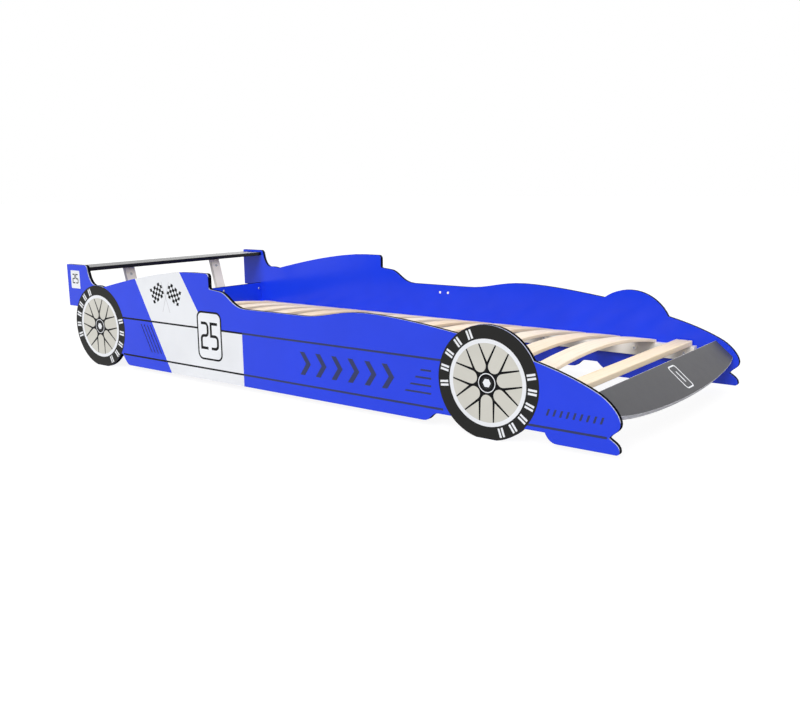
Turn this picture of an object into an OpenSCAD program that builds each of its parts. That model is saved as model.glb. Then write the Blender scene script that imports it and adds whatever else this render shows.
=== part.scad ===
// Racing car bed for a child, made of cut boards on a slatted base.
// Every length along the bed is measured from the rear end of the side panels,
// every width from the middle of the bed and every height from the floor.

/* [Side panels] */
// Length of each side panel, from the wing plate to the tip of the nose
panel_l = 2320; // [2280:1:2400]
// Width of the bed over the two side panels
bed_w = 945; // [880:1:1100]
// Thickness of the painted boards
board_t = 15; // [12:0.5:20]
// Height of the side beside the lowest part of the cockpit
side_h = 280; // [265:1:290]
// Rise of the hump in front of the cockpit above the side
hump_rise = 28; // [16:1:45]
// Place of the hump's crest between the wheel centres, as a share of their distance
hump_share = 0.759; // [0.73:0.001:0.79]
// Rise of the engine cover above the side
cover_rise = 108; // [90:1:130]
// Place of the engine cover's front edge between the wheel centres, as a share
cover_share = 0.3686; // [0.34:0.0001:0.4]
// Rise of the ledge in front of the engine cover above the side
ledge_rise = 55; // [45:1:65]
// Length of the ledge and the slope that leads down to the cockpit's side
ledge_l = 172; // [150:1:190]
// Length of the slope that leads up to the hump
hump_run = 255; // [220:1:290]
// Height of the skirt's lower edge between the wheels
skirt_h = 20; // [12:1:30]
// Height of the panel's lower edge beside the wheels
sill_h = 46; // [40:1:55]
// Height of the tip of the nose
tip_h = 97; // [90:1:105]
// Length of the fin under the nose
fin_l = 168; // [120:1:185]

/* [Wheels] */
// Radius of the wheel outline
tyre_r = 157; // [150:0.5:164]
// Length of the flat that each wheel stands on
foot_l = 64; // [40:1:90]
// Distance of the rear wheel's centre from the rear end
rear_wheel_s = 194; // [185:1:205]
// Distance of the front wheel's centre from the tips of the nose
nose_l = 379; // [360:1:400]

/* [Wing] */
// Height of the plates that carry the wing
plate_h = 384; // [370:1:400]
// Length of the wing plates in front of the wing
plate_past = 14; // [8:1:24]
// Height of the wing plate's lower edge
plate_low_h = 221; // [205:1:240]
// Length of the wing board from front to back
wing_l = 118; // [90:1:124]
// Thickness of the wing board
wing_t = 15; // [12:0.5:18]
// Depth of the wing's top face below the top of its plates
wing_drop = 9; // [5:1:20]
// Distance of the wing's rear edge from the rear end
wing_inset = 1; // [0.5:0.5:4]
// Width of each strut under the wing
strut_w = 46; // [40:1:70]
// Thickness of each strut
strut_t = 15; // [12:0.5:20]
// Distance between the middles of the two struts
strut_span = 454; // [300:1:600]
// Distance from the rear end to the front of the struts at the wing
strut_top_s = 60; // [52:1:75]
// Length of the strut's foot behind the rear panel
strut_foot = 92; // [70:1:110]
// Distance from the wing's underside down the strut's front face to the cam in it
cam_drop = 33; // [24:1:45]

/* [Rear panel] */
// Distance of the rear panel's rear face from the rear end
rear_panel_s = 97; // [94:1:104]
// Height of the rear panel's top edge
rear_panel_h = 232; // [210:1:245]
// Height of the rear panel's lower edge
rear_panel_low_h = 40; // [33:1:44]
// Width of the corner battens
batten_w = 28; // [24:1:40]
// Thickness of the battens
batten_t = 20; // [18:1:28]

/* [Nose board] */
// Slope of the nose board
nose_slope = 40; // [34:0.5:44]
// Distance of the nose board's rear edge from the nose tips
nose_back = 78; // [70:1:90]
// Height of the nose board's rear edge above the tips of the nose
nose_board_up = 66; // [62:1:71]
// Length of the nose board at its sides
nose_side_l = 75; // [66:1:84]
// Length of the nose board in the middle
nose_mid_l = 118; // [100:1:130]
// Length of the battens under the nose board
nose_batten_l = 46; // [42:1:50]

/* [Slatted base] */
// Gap between the rear panel and the rear bar
base_gap = 37; // [10:1:50]
// Gap between the front bar and the rear edge of the nose board
base_nose_gap = 73; // [55:1:100]
// Height of the rails' top edge
rail_top_h = 139; // [130:1:150]
// Height of the rail's section
rail_h = 48; // [40:1:60]
// Thickness of the rail's section
rail_t = 25; // [22:1:35]
// Length of the rail past the front bar
rail_past = 12; // [5:1:25]
// Width of each slat
slat_w = 70; // [50:1:85]
// Thickness of each slat
slat_t = 12; // [10:0.5:14]
// Rise of the slats in the middle of the bed
slat_bow = 42; // [25:1:55]
// Distance from one slat to the next
slat_pitch = 130.5; // [124:0.5:132]
// Gap between a slat's end and the side panel
slat_end_gap = 12; // [8:0.5:14]
// Depth that the underside of a slat is planed flat at its two seats
seat_cut = 2; // [1:0.5:3]
// Rounding of the long edges of the slats and bars
slat_edge_r = 3; // [1:0.5:4]
// Width of the rear bar
rear_bar_w = 70; // [50:1:90]
// Width of the front bar
front_bar_w = 56; // [40:1:80]
// Thickness of the front bar
front_bar_t = 18; // [14:0.5:24]

/* [Fasteners] */
// Diameter of the screws' shanks
screw_d = 4; // [3:0.5:5]
// Diameter of the countersunk heads
head_d = 8; // [7:0.5:10]
// Diameter of the pan heads on the rear panel
pan_d = 11; // [9:0.5:14]
// Height of the pan heads
pan_h = 2.5; // [2:0.5:4]
// Depth that a screw bites into the last board it enters
bite = 10; // [8:0.5:11]
// Diameter of the cup washers on the rails
cup_d = 18; // [14:1:22]
// Height of the cup washers
cup_h = 3; // [2.5:0.5:5]
// Distance between the screws of a rail
rail_screw_pitch = 174; // [150:1:178]
// Distance from the rail's front end to its first screw
rail_screw_in = 33; // [20:1:45]
// Diameter of the pegs that locate the slats
peg_d = 6; // [5:0.5:8]
// Length of a peg inside the rail
peg_in = 14; // [10:1:16]
// Length of a peg above the rail
peg_out = 7; // [5:0.5:7.5]
// Diameter of the cover caps
cap_d = 10; // [8:0.5:14]
// Distance between a pair of cover caps
cap_pitch = 38; // [30:1:60]
// Depth of the cover caps below the side's top edge
cap_drop = 29; // [22:1:45]
// Distance of each pair of cover caps from the engine cover's front edge
cap_in = 322; // [220:1:400]
// Diameter of the cams in the struts
cam_d = 12; // [10:0.5:14]
// Diameter of the pins that the cams pull
pin_d = 5; // [4:0.5:6]
// Diameter of the dowels in the ends of the wing
dowel_d = 8; // [6:0.5:8]
// Length of a dowel inside the wing
dowel_in = 20; // [15:1:30]
// Clearance of a screw, peg, pin or dowel in its hole
fit = 0.2; // [0.1:0.05:0.4]

/* [Hidden] */
$fn = 64;

// Colours of the finishes
blue = "#2f45e6";
black = "#232325";
white = "#eceef0";
birch = "#ecd5ab";
steel = "#c9ccd0";

// Number of straight runs in one curve of an outline
curve_n = 8;

// Half the width between the side panels
in_y = bed_w / 2 - board_t;
// Centre height of the wheels, which stand on their flats
wheel_h = sqrt(tyre_r * tyre_r - foot_l * foot_l / 4);
front_wheel_s = panel_l - nose_l;
wheel_base = front_wheel_s - rear_wheel_s;
// Places and heights of the outline between the wheels
cover_s = rear_wheel_s + cover_share * wheel_base;
cover_h = side_h + cover_rise;
ledge_h = side_h + ledge_rise;
hump_s = rear_wheel_s + hump_share * wheel_base;
hump_h = side_h + hump_rise;
// Top edge of the wing plates
plate_l = wing_inset + wing_l + plate_past;
// Nose board's rear edge, and the length of the whole bed over its bowed front edge
nose_s = panel_l - nose_back;
nose_board_h = tip_h + nose_board_up;
overall_l = max(panel_l, nose_s + nose_mid_l * cos(nose_slope));
// Underside of the wing
wing_low_h = plate_h - wing_drop - wing_t;
// Front face of the rear panel, and the ends of the slatted base and its rails
rear_front_s = rear_panel_s + board_t;
base_s = rear_front_s + base_gap;
base_end_s = nose_s - base_nose_gap;
rail_s = rear_front_s;
rail_end_s = base_end_s + rail_past;
// As many bowed slats as fit between the straight bars, and as many screws as fit along a rail
slat_count = floor((base_end_s - front_bar_w - base_s - rear_bar_w) / slat_pitch);
rail_screw_count = 1 + floor((rail_end_s - rail_s - 2 * rail_screw_in) / rail_screw_pitch);
// Half length of the slats, and the middle of their seat on the rail
slat_half = in_y - slat_end_gap;
seat_y = (in_y - rail_t + slat_half) / 2;
// Radius of the slats' underside, which would reach below the rails' top at its ends
sagitta = slat_bow + seat_cut;
bow_r = (slat_half * slat_half + sagitta * sagitta) / (2 * sagitta);
bow_angle = asin(slat_half / bow_r);
// Lean of the struts
strut_run = rear_panel_s - strut_top_s;
strut_rise = wing_low_h - rear_panel_h;
strut_lean = atan(strut_run / strut_rise);
strut_slice = strut_t / cos(strut_lean);
// Underside of the nose board runs this far below its top face
nose_batten_u = 8;
// Screws through the rear panel into the struts, whose foot is behind it
strut_screw_low_h = rear_panel_h - strut_foot + 16;
strut_screw_high_h = rear_panel_h - 18;
// Screws through the rear panel into the corner battens, clear below and above the rails
corner_screw_low_h = rail_top_h - rail_h - 12;
corner_screw_high_h = rear_panel_h - 26;
corner_low_h = corner_screw_low_h - 16;
corner_high_h = rear_panel_h - 6;
// Depth of the cams in the struts, whose pins lie in the middle of the strut's thickness
cam_t = strut_t * 0.8;
// The pins run from near the middle of the cam to the middle of the wing
pin_start = cam_d * 0.15;
pin_l = cam_drop + strut_t / 2 * tan(strut_lean) + wing_t * 0.6;

// Name of a slat
function slat_name(i) = str("slat_", i < 10 ? "0" : "", i);

// Names of all the pieces, and the one that is drawn

// Points of a curve with two control points, without its first point
function curve(a, b, c, d, n = curve_n) = [for (i = [1 : n])
    let (t = i / n, u = 1 - t)
    u * u * u * a + 3 * u * u * t * b + 3 * u * t * t * c + t * t * t * d];

// Points of a round corner
function corner(centre, r, from, to, n = 4) = [for (i = [0 : n])
    let (a = from + (to - from) * i / n)
    centre + r * [cos(a), sin(a)]];

// Upright board drawn as length and height, from y to y + t
module upright(y, t) {
    translate([0, y + t, 0]) rotate([90, 0, 0]) linear_extrude(t) children();
}

// Copies its children on the other side of the bed as well
module both_sides() {
    children();
    mirror([0, 1, 0]) children();
}

// Moves the model so that the middle of its length is at the origin
module centred() {
    translate([-overall_l / 2, 0, 0]) children();
}

// Rectangle with round corners
module round_rect(w, h, r) {
    translate([r, 0]) square([w - 2 * r, h]);
    translate([0, r]) square([w, h - 2 * r]);
    for (x = [r, w - r], y = [r, h - r]) translate([x, y]) circle(r);
}

// Countersunk screw along -Z with its head's face at the origin
module countersunk(l) {
    cone = (head_d - screw_d) / 2;
    rotate_extrude() polygon([
        [0, 0], [head_d / 2, 0], [screw_d / 2, -cone], [screw_d / 2, 3 - l], [0, -l]]);
}

// Hole for a countersunk screw: its cone seats the head and the rest clears the shank
module countersink(l) {
    shank_r = screw_d / 2 + fit;
    rotate_extrude() polygon([
        [0, 1], [head_d / 2 + 1, 1], [shank_r, shank_r - head_d / 2],
        [shank_r, -l - fit], [0, -l - fit]]);
}

// Pan head screw along -Z with the underside of its head at the origin
module pan_screw(l) {
    rotate_extrude() polygon(concat([[0, pan_h]],
        curve([0, pan_h], [pan_d * 0.3, pan_h], [pan_d / 2, pan_h * 0.7], [pan_d / 2, 0], 5),
        [[screw_d / 2, 0], [screw_d / 2, 3 - l], [0, -l]]));
}

// Round hole along -Z for a screw or peg
module hole(l, d = screw_d) {
    translate([0, 0, -l - fit]) cylinder(h = l + fit + 1, d = d + 2 * fit);
}

// Turns children that lie along -Z to run along +Y, into the left side panel, from y
module outward(s, y, z) {
    translate([s, y, z]) rotate([90, 0, 0]) children();
}

// Turns children that lie along -Z to run backwards along the bed
module backward(s, y, z) {
    translate([s, y, z]) rotate([0, 90, 0]) children();
}

// Wheel outline, flat where it stands
module wheel_outline(s) {
    intersection() {
        translate([s, wheel_h]) circle(tyre_r, $fn = 128);
        translate([s - tyre_r, 0]) square([2 * tyre_r, 2 * tyre_r]);
    }
}

// Plate that carries the wing
module plate_outline() {
    r = 4;
    front_r = 14;
    polygon(concat(
        corner([r, plate_h - r], r, 180, 90),
        corner([plate_l - front_r, plate_h - front_r], front_r, 90, 0),
        curve([plate_l, plate_h - front_r], [plate_l + 5, plate_h - 34],
            [rear_wheel_s, wheel_h] + tyre_r * [-0.31, 0.99],
            [rear_wheel_s, wheel_h] + tyre_r * [-0.057, 0.987]),
        [[rear_wheel_s, wheel_h], [rear_wheel_s - tyre_r * 0.7, plate_low_h]],
        corner([r, plate_low_h + r], r, 270, 180)));
}

// Engine cover, cockpit side, hump and skirt between the wheels
module body_outline() {
    rear_hub = [rear_wheel_s, wheel_h];
    front_hub = [front_wheel_s, wheel_h];
    rise = rear_hub + tyre_r * [0.229, 0.968];
    crest = [cover_s - 88, cover_h];
    run = crest - rise;
    cover_r = 12;
    ledge_r = 6;
    slope_s = cover_s + ledge_l - 125;
    hump = [hump_s, hump_h];
    dip = [hump_s - hump_run, side_h];
    fall = front_hub + tyre_r * [-0.516, 0.78];
    front_skirt_s = front_wheel_s - tyre_r;
    rear_skirt_s = rear_wheel_s + tyre_r;
    polygon(concat(
        [rear_hub, rise],
        curve(rise, rise + [run[0] * 0.27, run[1] * 0.4], [rise[0] + run[0] * 0.71, cover_h], crest),
        corner([cover_s - cover_r, cover_h - cover_r], cover_r, 90, 0),
        corner([cover_s + ledge_r, ledge_h + ledge_r], ledge_r, 180, 262, 3),
        [[slope_s, ledge_h - 4]],
        curve([slope_s, ledge_h - 4], [slope_s + 45, ledge_h - 5],
            [slope_s + 60, side_h + 1], [cover_s + ledge_l, side_h]),
        [dip],
        curve(dip, dip + [90, -2], hump - [110, 0], hump),
        curve(hump, hump + [110, 0], fall + [-100, 14], fall),
        [front_hub, [front_wheel_s - tyre_r / 2, sill_h], [front_skirt_s, sill_h]],
        curve([front_skirt_s, sill_h], [front_skirt_s - 27, sill_h],
            [front_skirt_s - 25, skirt_h], [front_skirt_s - 53, skirt_h]),
        [[rear_skirt_s + 24, skirt_h]],
        curve([rear_skirt_s + 24, skirt_h], [rear_skirt_s + 6, skirt_h],
            [rear_skirt_s + 1, skirt_h + 5], [rear_skirt_s - 23, skirt_h + 40]),
        [[rear_wheel_s + tyre_r * 0.6, skirt_h + 40]]));
}

// Nose with its notch and the fin below it
module nose_outline() {
    front_hub = [front_wheel_s, wheel_h];
    start = front_hub + 0.862 * tyre_r * [cos(37), sin(37)];
    brow = [panel_l - 55, tip_h + 67];
    tip = [panel_l, tip_h];
    notch = [panel_l - 29, sill_h + 14];
    fin_r = 9;
    fin = [panel_l - fin_l, skirt_h];
    polygon(concat(
        [front_hub, start],
        curve(start, start + [95, -20], brow + [-45, 24], brow),
        curve(brow, brow + [35, -21], tip + [0, 18], tip),
        curve(tip, tip + [0, -19], notch + [9, 14], notch, 6),
        curve(notch, notch + [9, -7], notch + [29, -14], [panel_l, skirt_h + fin_r], 6),
        corner([panel_l - fin_r, skirt_h + fin_r], fin_r, 0, -90),
        [fin],
        curve(fin, fin - [20, 0], fin + [-30, 13], [fin[0] - 36, sill_h]),
        [[front_wheel_s + tyre_r / 2, sill_h]]));
}

// Left side panel before it is drilled
module side_board() {
    upright(in_y, board_t) wheel_outline(rear_wheel_s);
    upright(in_y, board_t) wheel_outline(front_wheel_s);
    upright(in_y, board_t) plate_outline();
    upright(in_y, board_t) body_outline();
    upright(in_y, board_t) nose_outline();
}

// Distance of a rail screw from the rear end
function rail_screw_s(i) = rail_end_s - rail_screw_in - i * rail_screw_pitch;

// Rear edge of a slat
function slat_s(i) = base_s + rear_bar_w + i * slat_pitch - slat_w;

// Places of the screws that hold the battens to the left side panel: length, height and batten depth
function corner_batten_places() = [for (share = [0.25, 0.75])
    [rear_panel_s - batten_t / 2,
     corner_screw_low_h + share * (corner_screw_high_h - corner_screw_low_h), batten_w]];
function nose_batten_places() = [for (u = [nose_batten_l / 6, nose_batten_l * 5 / 6])
    [nose_point(nose_batten_u + u, board_t + batten_t / 2)[0],
     nose_point(nose_batten_u + u, board_t + batten_t / 2)[1], batten_t]];
function batten_places() = concat(corner_batten_places(), nose_batten_places());

// Point at a length down the nose board and a depth below its top face
function nose_point(u, depth) = [
    nose_s + u * cos(nose_slope) - depth * sin(nose_slope),
    nose_board_h - u * sin(nose_slope) - depth * cos(nose_slope)];

// Places of the dowels in the end of the wing: length, height
function dowel_places() = [for (share = [0.2, 0.8])
    [wing_inset + wing_l * share, wing_low_h + wing_t / 2]];

// Distances of a pair of cover caps from the rear end
function cap_places() = [for (x = [-1, 1]) cover_s + cap_in + x * cap_pitch / 2];

// Left side panel with the blind holes in its inner face
module side_panel() {
    difference() {
        side_board();
        for (i = [0 : rail_screw_count - 1])
            outward(rail_screw_s(i), in_y, rail_top_h - rail_h / 2) hole(bite);
        for (p = batten_places()) outward(p[0], in_y, p[1]) hole(bite);
        for (p = dowel_places()) outward(p[0], in_y, p[1]) hole(bite, dowel_d);
        for (s = cap_places()) outward(s, in_y, side_h - cap_drop) hole(bite, cap_d * 0.7);
    }
}

module side_panel_left() {
    color(blue) centred() side_panel();
}

module side_panel_right() {
    color(blue) centred() mirror([0, 1, 0]) side_panel();
}

// Places of the screws through the rear panel: width, height
function strut_foot_places() = [
    for (y = [-1, 1], z = [strut_screw_low_h, strut_screw_high_h]) [y * strut_span / 2, z]];
function corner_screw_places() = [
    for (y = [-1, 1], z = [corner_screw_low_h, corner_screw_high_h])
        [y * (in_y - batten_w / 2), z]];

// Board that closes the rear of the bed under the wing
module rear_panel() {
    color(blue) centred() difference() {
        translate([rear_panel_s, in_y, rear_panel_low_h]) rotate([90, 0, 0])
            linear_extrude(2 * in_y) round_rect(board_t, rear_panel_h - rear_panel_low_h, 1.5);
        for (p = concat(strut_foot_places(), corner_screw_places()))
            backward(rear_front_s, p[0], p[1]) hole(board_t);
    }
}

// Half of the nose board's plan from its side to the middle of its bowed front edge
function nose_half() = concat([[nose_side_l, in_y]],
    curve([nose_side_l, in_y], [nose_side_l + (nose_mid_l - nose_side_l) * 0.56, in_y * 0.874],
        [nose_mid_l, in_y * 0.481], [nose_mid_l, 0], 14));

// Sloping board between the noses of the side panels
module nose_board() {
    half = nose_half();
    last = len(half) - 1;
    color(black) centred() difference() {
        translate([nose_s, 0, nose_board_h]) rotate([0, nose_slope, 0])
            translate([0, 0, -board_t]) linear_extrude(board_t) polygon(concat(
                [[0, in_y]], half,
                [for (i = [last - 1 : -1 : 0]) [half[i][0], -half[i][1]]],
                [[0, -in_y]]));
        for (y = [-1, 1]) nose_screw_place(y) hole(batten_t + bite);
    }
}

// Frame of the screw that rises through a nose batten into the nose board
module nose_screw_place(side) {
    p = nose_point(nose_batten_u + nose_batten_l / 2, board_t + batten_t);
    translate([p[0], side * (in_y - batten_t / 2), p[1]]) rotate([0, nose_slope + 180, 0]) children();
}

// Frame of the cam in a strut, square to the strut's front face
module cam_place(side) {
    drop = cam_drop * cos(strut_lean);
    translate([strut_top_s + drop * tan(strut_lean), side * strut_span / 2, wing_low_h - drop])
        rotate([0, 90 - strut_lean, 0]) children();
}

// Frame of the pin, which runs up from the cam through the middle of the strut to the wing
module pin_place(side) {
    cam_place(side) translate([0, 0, -strut_t / 2]) rotate([0, 90, 0]) children();
}

// Black wing board between the two plates
module wing_board() {
    color(black) centred() difference() {
        translate([wing_inset, in_y, wing_low_h]) rotate([90, 0, 0])
            linear_extrude(2 * in_y) round_rect(wing_l, wing_t, 2);
        for (y = [-1, 1]) pin_place(y) hole(pin_l, pin_d);
        both_sides() for (p = dowel_places()) outward(p[0], in_y + 1 - dowel_in - fit, p[1])
            hole(dowel_in, dowel_d);
    }
}

// Side view of a strut: an upright foot behind the rear panel, then a lean back to the wing
module strut_outline() {
    knee = rear_panel_h - (strut_slice - strut_t) / tan(strut_lean);
    polygon([
        [rear_panel_s, rear_panel_h - strut_foot], [rear_panel_s, rear_panel_h],
        [strut_top_s, wing_low_h], [strut_top_s - strut_slice, wing_low_h],
        [rear_panel_s - strut_t, knee], [rear_panel_s - strut_t, rear_panel_h - strut_foot]]);
}

module wing_strut(side) {
    color(white) centred() difference() {
        upright(side * strut_span / 2 - strut_w / 2, strut_w) strut_outline();
        for (p = strut_foot_places()) backward(rear_front_s, p[0], p[1]) hole(board_t + bite);
        cam_place(side) hole(cam_t, cam_d);
        pin_place(side) hole(pin_l, pin_d);
    }
}

// Rail on the inner face of the left side panel
module slat_rail() {
    difference() {
        translate([rail_s, in_y - rail_t, rail_top_h - rail_h])
            cube([rail_end_s - rail_s, rail_t, rail_h]);
        for (i = [0 : rail_screw_count - 1])
            outward(rail_screw_s(i), in_y - rail_t, rail_top_h - rail_h / 2) hole(rail_t + 1);
        for (i = [1 : slat_count])
            translate([slat_s(i) + slat_w / 2, seat_y, rail_top_h - peg_in])
                cylinder(h = peg_in + 1, d = peg_d + 2 * fit);
        for (p = bar_screw_places()) translate([p[0], seat_y, rail_top_h]) hole(p[2] - p[1]);
    }
}

module slat_rail_left() {
    color(white) centred() slat_rail();
}

module slat_rail_right() {
    color(white) centred() mirror([0, 1, 0]) slat_rail();
}

// Upright batten behind the end of the rear panel
module corner_batten() {
    difference() {
        translate([rear_panel_s - batten_t, in_y - batten_w, corner_low_h])
            cube([batten_t, batten_w, corner_high_h - corner_low_h]);
        for (p = corner_batten_places()) outward(p[0], in_y - p[2], p[1]) countersink(p[2] + bite);
        for (p = corner_screw_places()) backward(rear_front_s, p[0], p[1]) hole(board_t + bite);
    }
}

module corner_batten_left() {
    color(birch) centred() corner_batten();
}

module corner_batten_right() {
    color(birch) centred() mirror([0, 1, 0]) corner_batten();
}

// Batten under the end of the nose board, cut to its slope
module nose_batten() {
    difference() {
        translate([nose_s, in_y - batten_t, nose_board_h]) rotate([0, nose_slope, 0])
            translate([nose_batten_u, 0, -board_t - batten_t]) cube([nose_batten_l, batten_t, batten_t]);
        for (p = nose_batten_places()) outward(p[0], in_y - p[2], p[1]) countersink(p[2] + bite);
        nose_screw_place(1) countersink(batten_t + bite);
    }
}

module nose_batten_left() {
    color(birch) centred() nose_batten();
}

module nose_batten_right() {
    color(birch) centred() mirror([0, 1, 0]) nose_batten();
}

// Places of the screws in the straight bars: length, height of the rail end, height of the head
function bar_screw_places() = concat(
    [for (x = [rear_bar_w * 0.25, rear_bar_w * 0.75])
        [base_s + x, rail_top_h - bite, rail_top_h + slat_t]],
    [for (x = [front_bar_w * 0.25, front_bar_w * 0.75])
        [base_end_s - front_bar_w + x, rail_top_h - bite, rail_top_h + front_bar_t]]);

// Straight bar across the rails
module straight_bar(s, w, t) {
    color(birch) centred() difference() {
        translate([s, slat_half, rail_top_h]) rotate([90, 0, 0])
            linear_extrude(2 * slat_half) round_rect(w, t, slat_edge_r);
        both_sides() for (p = bar_screw_places())
            translate([p[0], seat_y, p[2]]) countersink(p[2] - p[1]);
    }
}

module rear_bar() {
    straight_bar(base_s, rear_bar_w, slat_t);
}

module front_bar() {
    straight_bar(base_end_s - front_bar_w, front_bar_w, front_bar_t);
}

// Bowed slat, a curved strip that springs from rail to rail and is planed flat where it rests
module slat(i) {
    color(birch) centred() difference() {
        translate([slat_s(i), 0, rail_top_h + slat_bow - bow_r]) rotate([0, 90, 0])
            rotate([0, 0, 180 - bow_angle]) rotate_extrude(angle = 2 * bow_angle, $fn = 400)
                translate([bow_r, 0]) round_rect(slat_t, slat_w, slat_edge_r);
        both_sides() translate([slat_s(i) + slat_w / 2, seat_y, rail_top_h - 1])
            cylinder(h = peg_out + 1 + fit, d = peg_d + 2 * fit);
        translate([slat_s(i) - 1, -in_y, rail_top_h - slat_t]) cube([slat_w + 2, 2 * in_y, slat_t]);
    }
}

// Pegs in the rails that keep the slats in their places
module slat_pegs() {
    color(birch) centred() both_sides() for (i = [1 : slat_count])
        translate([slat_s(i) + slat_w / 2, seat_y, rail_top_h - peg_in])
            cylinder(h = peg_in + peg_out, d = peg_d);
}

module rail_screws() {
    color(steel) centred() both_sides() for (i = [0 : rail_screw_count - 1])
        outward(rail_screw_s(i), in_y - rail_t - cup_h, rail_top_h - rail_h / 2)
            countersunk(cup_h + rail_t + bite);
}

// Cup washers with a countersunk seat
module rail_washers() {
    color(white) centred() both_sides() for (i = [0 : rail_screw_count - 1])
        outward(rail_screw_s(i), in_y - rail_t, rail_top_h - rail_h / 2) difference() {
            rotate_extrude() polygon(concat([[0, 0], [cup_d / 2, 0]],
                curve([cup_d / 2, 0], [cup_d / 2, cup_h * 0.6], [cup_d * 0.42, cup_h],
                    [head_d / 2 + 1, cup_h], 5),
                [[0, cup_h]]));
            translate([0, 0, cup_h]) countersink(2 * cup_h + head_d);
        }
}

module bar_screws() {
    color(steel) centred() both_sides() for (p = bar_screw_places())
        translate([p[0], seat_y, p[2]]) countersunk(p[2] - p[1]);
}

// Screws through the rear panel into the struts and the corner battens
module rear_panel_screws() {
    color(steel) centred() for (p = concat(strut_foot_places(), corner_screw_places()))
        backward(rear_front_s, p[0], p[1]) pan_screw(board_t + bite);
}

// Screws through the battens into the side panels
module batten_screws() {
    color(steel) centred() both_sides() for (p = batten_places())
        outward(p[0], in_y - p[2], p[1]) countersunk(p[2] + bite);
}

// Screws through the nose battens into the nose board
module nose_screws() {
    color(steel) centred() for (y = [-1, 1]) nose_screw_place(y) countersunk(batten_t + bite);
}

// Cams that pull the struts up to the wing, each with a bore for its pin and a recess for the key
module strut_cams() {
    key_d = cam_d * 0.45;
    key_h = strut_t * 0.2;
    color(steel) centred() for (y = [-1, 1]) difference() {
        cam_place(y) translate([0, 0, -cam_t]) cylinder(h = cam_t, d = cam_d);
        pin_place(y) hole(pin_l, pin_d);
        cam_place(y) cylinder(h = 2 * key_h, d = key_d, $fn = 6, center = true);
    }
}

// Pins from the cams through the tops of the struts into the wing
module strut_pins() {
    color(steel) centred() for (y = [-1, 1]) pin_place(y)
        translate([0, 0, -pin_l]) cylinder(h = pin_l - pin_start, d = pin_d);
}

// Dowels between the ends of the wing and the plates of the side panels
module wing_dowels() {
    color(birch) centred() both_sides() for (p = dowel_places()) outward(p[0], in_y - dowel_in, p[1])
        translate([0, 0, -dowel_in - bite]) cylinder(h = dowel_in + bite, d = dowel_d);
}

// Domed caps over the holes in the middle of the side panels
module cover_caps() {
    dome_h = 1.5;
    color(white) centred() both_sides() for (s = cap_places())
        outward(s, in_y, side_h - cap_drop) rotate_extrude() polygon(concat(
            [[0, dome_h]],
            curve([0, dome_h], [cap_d * 0.3, dome_h], [cap_d / 2, dome_h * 0.7], [cap_d / 2, 0], 5),
            [[cap_d * 0.35, 0], [cap_d * 0.35, -6], [0, -6]]));
}

side_panel_right();
side_panel_left();
rear_panel();
nose_board();
wing_board();
wing_strut(-1);  // wing_strut_right
wing_strut(1);  // wing_strut_left
slat_rail_right();
slat_rail_left();
corner_batten_right();
corner_batten_left();
nose_batten_right();
nose_batten_left();
rear_bar();
front_bar();
for (i = [1 : slat_count])
    slat(i);
slat_pegs();
rail_screws();
rail_washers();
bar_screws();
rear_panel_screws();
batten_screws();
nose_screws();
strut_cams();
strut_pins();
wing_dowels();
cover_caps();
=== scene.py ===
"""Looks of the racing car bed: printed boards, bowed slats, white rails and a plain studio.

Places on the sides are given as s, the distance from the rear end of the bed, and z, the height
from the floor. Places on the nose board are given as u, the distance down its slope, and y.
"""
import math

import bmesh
import bpy
from mathutils import Matrix, Vector
from mathutils.geometry import tessellate_polygon


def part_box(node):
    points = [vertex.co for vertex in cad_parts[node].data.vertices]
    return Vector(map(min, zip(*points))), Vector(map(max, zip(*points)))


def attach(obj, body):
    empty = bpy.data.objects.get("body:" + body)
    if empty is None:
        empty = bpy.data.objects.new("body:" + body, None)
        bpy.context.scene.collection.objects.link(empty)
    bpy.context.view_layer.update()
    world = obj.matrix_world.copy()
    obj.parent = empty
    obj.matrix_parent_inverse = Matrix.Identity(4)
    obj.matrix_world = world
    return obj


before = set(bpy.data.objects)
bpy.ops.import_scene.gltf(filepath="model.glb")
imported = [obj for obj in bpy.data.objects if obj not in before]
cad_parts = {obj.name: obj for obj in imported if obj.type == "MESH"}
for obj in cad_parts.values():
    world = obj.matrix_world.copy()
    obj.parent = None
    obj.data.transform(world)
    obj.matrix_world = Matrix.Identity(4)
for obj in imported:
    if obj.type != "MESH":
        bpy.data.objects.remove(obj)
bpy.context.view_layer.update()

bl_info = {
    "name": "Racing Car Bed",
    "version": (1, 0, 0),
    "blender": (4, 5, 0),
    "location": "3D View > Sidebar > Car Bed",
    "description": "Prints, finishes and studio of a racing car bed",
    "category": "Object",
}

BODY = "root"
MM = 0.001
REAR_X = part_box("side_panel_right")[0].x
OUTER_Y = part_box("side_panel_left")[1].y
INNER_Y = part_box("nose_board")[1].y
SIDES = {"right": -1, "left": 1}
NOSE_SLOPE = math.radians(40)
# Points of a CAD mesh that are nearer than this are one
MERGE = 0.01 * MM
# Each print is a thin plate, sunk this deep into its board, and each layer is this much higher
PRINT_SINK = 0.2 * MM
PRINT_LAYER = 0.1 * MM
# Light of the seen floor: just over white, so that what isn't in shadow is white
FLOOR_LIGHT = 1.08
# How far the arms of the cross recess reach in each kind of screw
CROSS_REACH = {
    "rail_screws": 2.2 * MM, "bar_screws": 2.2 * MM, "rear_panel_screws": 2.6 * MM,
    "batten_screws": 2.2 * MM, "nose_screws": 2.2 * MM}


# Sizes and colours that a user would change


def shade(red, green, blue):
    """Linear colour of a shade that is written from 0 to 255."""
    def linear(value):
        value /= 255
        return value / 12.92 if value <= 0.04045 else ((value + 0.055) / 1.055) ** 2.4
    return linear(red), linear(green), linear(blue)


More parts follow.
